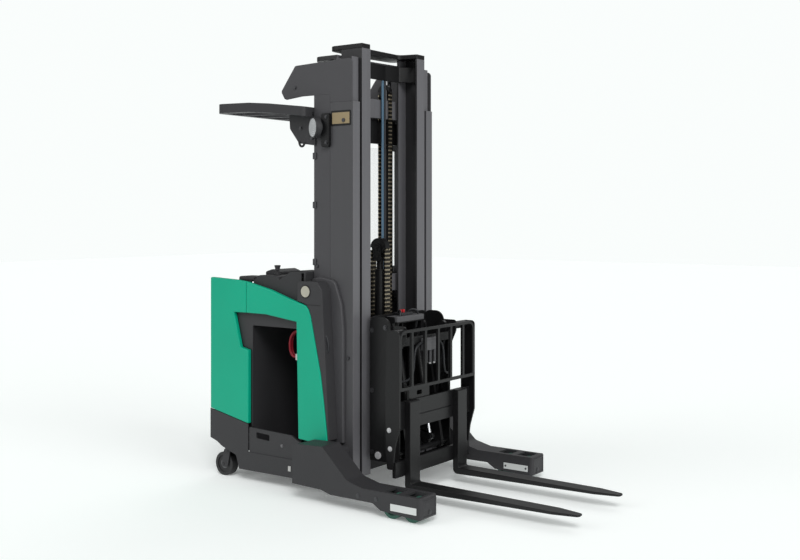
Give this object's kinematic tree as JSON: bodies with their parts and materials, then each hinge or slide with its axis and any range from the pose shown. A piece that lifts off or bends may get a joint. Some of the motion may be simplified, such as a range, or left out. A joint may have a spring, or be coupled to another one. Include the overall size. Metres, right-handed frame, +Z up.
{
  "type": "reach truck",
  "caption": "Stand-up electric reach truck with nested mast stages, scissor reach carriage, two forks, straddle legs, overhead guard and an empty side battery bay.",
  "frame": {"origin": "on the floor under the middle of the whole truck's box, on its centre plane, midway between the rear of the body and the fork tips", "axes": "+X towards the fork tips, +Y to the truck's left, +Z up"},
  "size_m": [2.49, 1.386, 2.705],
  "materials": {
    "panel_green": "satin",
    "charcoal": "satin",
    "mast_grey": "satin",
    "black_steel": "satin",
    "dark_plastic": "textured",
    "tyre_black": "matte",
    "tread_green": "satin",
    "chrome_rod": "polished",
    "chain_gold": "oiled",
    "hose_blue": "satin",
    "lamp_lens": "frosted",
    "lead_red": "satin",
    "connector_grey": "moulded",
    "mat_rubber": "ribbed",
    "pad_black": "grained",
    "screen_clear": "clear"
  },
  "bodies": {
    "chassis": {"leg_right": "charcoal", "leg_left": "charcoal", "frame": "charcoal", "front_frame": "charcoal", "battery_gates": "charcoal", "front_panels": "charcoal", "mast_shrouds": "charcoal", "drive_cover": "charcoal", "towers": "charcoal", "top_covers": "charcoal", "bay_trims": "charcoal", "overhead_guard": "charcoal", "quarter_panels": "panel_green", "battery_covers": "panel_green", "dash": "dark_plastic", "control_lever": "dark_plastic", "steering_wheel": "dark_plastic", "lamp_housing": "dark_plastic", "floor_mat": "mat_rubber", "lean_pad": "pad_black", "outer_ties": "black_steel", "lift_barrels": "black_steel", "outer_rails": "mast_grey", "lamp_lens": "lamp_lens", "battery_lead": "lead_red", "battery_connector": "connector_grey", "screen": "screen_clear"},
    "middle_mast": {"middle_rails": "black_steel", "middle_ties": "black_steel", "lift_rods": "chrome_rod", "lift_sheaves": "black_steel", "lift_chain_fronts": "chain_gold", "lift_chain_rears": "chain_gold"},
    "inner_mast": {"inner_rails": "mast_grey", "inner_ties": "black_steel", "free_barrel": "black_steel", "hoses": "hose_blue"},
    "free_lift_head": {"free_head": "black_steel", "free_chain_front": "chain_gold", "free_chain_rear": "chain_gold"},
    "carriage": {"mast_carriage": "black_steel", "mast_rollers": "black_steel"},
    "outer_arms": {"reach_arms_outer": "black_steel"},
    "inner_arms": {"reach_arms_inner": "black_steel"},
    "reach_cylinders": {"reach_barrels": "black_steel"},
    "reach_pistons": {"reach_rods": "chrome_rod"},
    "reach_head": {"reach_head": "black_steel"},
    "fork_frame": {"side_plates": "black_steel", "load_backrest": "black_steel", "fork_bars": "black_steel", "fork_right": "black_steel", "fork_left": "black_steel"},
    "caster_yoke": {"caster_yoke": "charcoal"},
    "caster_wheel": {"caster_wheel": "tyre_black"},
    "drive_unit": {"drive_unit": "black_steel"},
    "drive_wheel": {"drive_wheel": "tyre_black"},
    "load_wheel_1": {"load_wheel_1": "tread_green"},
    "load_wheel_2": {"load_wheel_2": "tread_green"},
    "load_wheel_3": {"load_wheel_3": "tread_green"},
    "load_wheel_4": {"load_wheel_4": "tread_green"}
  },
  "joints": [
    {"name": "mast_lift", "type": "slide", "parent": "chassis", "child": "middle_mast", "axis": [0, 0, 1], "range_m": [0, 1.85], "deforming": ["lift_chain_fronts", "lift_chain_rears"]},
    {"name": "inner_lift", "type": "slide", "parent": "middle_mast", "child": "inner_mast", "axis": [0, 0, 1], "range_m": [0, 1.85]},
    {"name": "carriage_lift", "type": "slide", "parent": "inner_mast", "child": "carriage", "axis": [0, 0, 1], "range_m": [0, 1.4], "deforming": ["free_chain_front", "free_chain_rear"]},
    {"name": "free_lift_rod", "type": "slide", "parent": "inner_mast", "child": "free_lift_head", "axis": [0, 0, 1], "range_m": [0, 0.7]},
    {"name": "reach", "type": "hinge", "parent": "carriage", "child": "outer_arms", "pos_m": [-0.085, 0, 0.245], "axis": [0, 1, 0], "range_deg": [0, 48]},
    {"name": "scissor", "type": "hinge", "parent": "outer_arms", "child": "inner_arms", "pos_m": [-0.0215, 0, 0.6105], "axis": [0, 1, 0], "range_deg": [-96, 0]},
    {"name": "head_level", "type": "hinge", "parent": "inner_arms", "child": "reach_head", "pos_m": [0.042, 0, 0.245], "axis": [0, 1, 0], "range_deg": [0, 48]},
    {"name": "fork_tilt", "type": "hinge", "parent": "reach_head", "child": "fork_frame", "pos_m": [0.097, 0, 0.976], "axis": [0, 1, 0], "range_deg": [-4, 2]},
    {"name": "reach_cylinder_swing", "type": "hinge", "parent": "carriage", "child": "reach_cylinders", "pos_m": [-0.075, 0, 0.93], "axis": [0, 1, 0], "range_deg": [0, 1]},
    {"name": "reach_piston", "type": "slide", "parent": "reach_cylinders", "child": "reach_pistons", "axis": [0.1694, 0, -0.9855], "range_m": [0, 0.11]},
    {"name": "steering", "type": "hinge", "parent": "chassis", "child": "drive_unit", "pos_m": [-1.07, 0.27, 0.2], "axis": [0, 0, 1], "range_deg": [-95, 95]},
    {"name": "drive_spin", "type": "hinge", "parent": "drive_unit", "child": "drive_wheel", "pos_m": [-1.07, 0.27, 0.145], "axis": [0, 1, 0], "continuous": true},
    {"name": "caster_swivel", "type": "hinge", "parent": "chassis", "child": "caster_yoke", "pos_m": [-1.13, -0.46, 0.17], "axis": [0, 0, 1], "continuous": true},
    {"name": "caster_spin", "type": "hinge", "parent": "caster_yoke", "child": "caster_wheel", "pos_m": [-1.165, -0.46, 0.075], "axis": [0, 1, 0], "continuous": true},
    {"name": "load_spin_1", "type": "hinge", "parent": "chassis", "child": "load_wheel_1", "pos_m": [0.3, -0.612, 0.0635], "axis": [0, 1, 0], "continuous": true},
    {"name": "load_spin_2", "type": "hinge", "parent": "chassis", "child": "load_wheel_2", "pos_m": [0.436, -0.612, 0.0635], "axis": [0, 1, 0], "continuous": true},
    {"name": "load_spin_3", "type": "hinge", "parent": "chassis", "child": "load_wheel_3", "pos_m": [0.3, 0.612, 0.0635], "axis": [0, 1, 0], "continuous": true},
    {"name": "load_spin_4", "type": "hinge", "parent": "chassis", "child": "load_wheel_4", "pos_m": [0.436, 0.612, 0.0635], "axis": [0, 1, 0], "continuous": true}
  ],
  "couplings": [
    {"joint": "inner_lift", "follows": "mast_lift", "ratio": 1},
    {"joint": "free_lift_rod", "follows": "carriage_lift", "ratio": 0.5},
    {"joint": "scissor", "follows": "reach", "ratio": -2},
    {"joint": "head_level", "follows": "reach", "ratio": 1},
    {"joint": "reach_cylinder_swing", "follows": "reach", "ratio": 0.0167},
    {"joint": "reach_piston", "follows": "reach", "m_per_rad": 0.1247}
  ]
}
